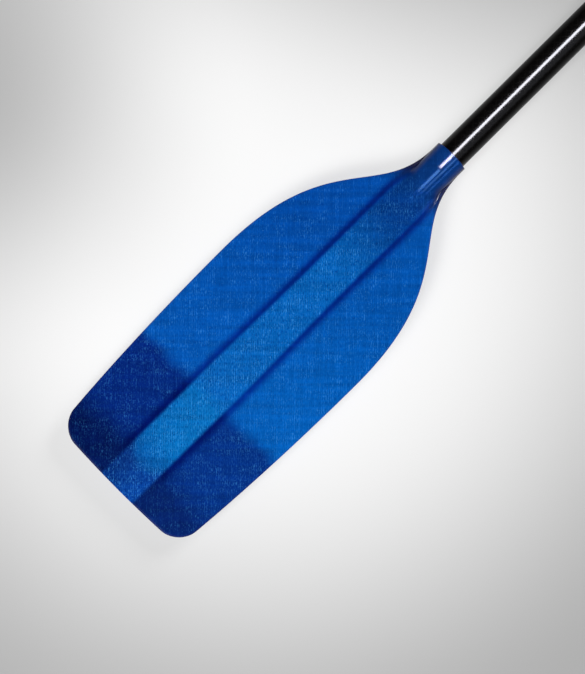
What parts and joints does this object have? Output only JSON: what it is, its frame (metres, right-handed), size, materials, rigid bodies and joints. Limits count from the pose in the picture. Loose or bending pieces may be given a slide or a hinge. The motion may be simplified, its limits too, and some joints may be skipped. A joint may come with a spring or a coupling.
{
  "type": "canoe paddle",
  "caption": "Single-blade canoe paddle: round black shaft with a T grip, and a flat blue laminate blade with a raised foam-cored spine, a socketed neck and a darker reinforced tip.",
  "frame": {"origin": "On the ground, under the middle of the paddle's bounding box.", "axes": "+X runs along the shaft from the tip of the blade to the grip, +Y lies across the blade, +Z leaves the power face. The paddle lies on its back face."},
  "size_m": [1.4219, 0.1832, 0.0355],
  "materials": {
    "laminate": "satin blue laminate, woven glass cloth showing through clear resin, glossy at the neck",
    "tip_cloth": "dark blue woven reinforcing cloth, wetted out with resin",
    "foam": "matt closed-cell foam",
    "shaft": "black wound fibre tube with a smooth gloss",
    "grip": "black moulded plastic, fine matt grain"
  },
  "bodies": {
    "root": {"power_face_skin": "laminate", "back_face_skin": "laminate", "spine_core": "foam", "tip_ply_long_left": "tip_cloth", "tip_ply_long_right": "tip_cloth", "tip_ply_short_left": "tip_cloth", "tip_ply_short_right": "tip_cloth", "shaft_tube": "shaft", "shaft_foot_plug": "foam", "grip_spigot": "shaft", "grip_shell_power_side": "grip", "grip_shell_back_side": "grip"}
  },
  "joints": []
}
